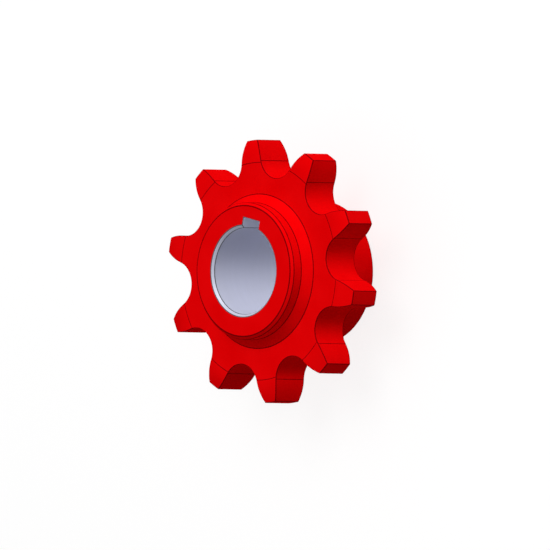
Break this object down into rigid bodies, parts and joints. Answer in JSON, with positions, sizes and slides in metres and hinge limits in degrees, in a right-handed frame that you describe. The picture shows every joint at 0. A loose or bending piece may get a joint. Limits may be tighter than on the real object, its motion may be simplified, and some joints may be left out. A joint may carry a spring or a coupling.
{
  "type": "chain sprocket",
  "caption": "Roller chain sprocket: a toothed plate with relieved tips on a stepped hub, with a keyed bore that drives or is driven by a shaft.",
  "frame": {"origin": "centre of the long hub's end face, on the bore's axis, where the sprocket stands", "axes": "+Z along the bore from the long hub to the short hub; +Y towards the keyway, which lies at a tooth gap; +X through a tooth"},
  "size_m": [0.0916, 0.0886, 0.04],
  "materials": {
    "red_enamel": "satin"
  },
  "bodies": {
    "root": {"sprocket": "red_enamel"}
  },
  "joints": []
}
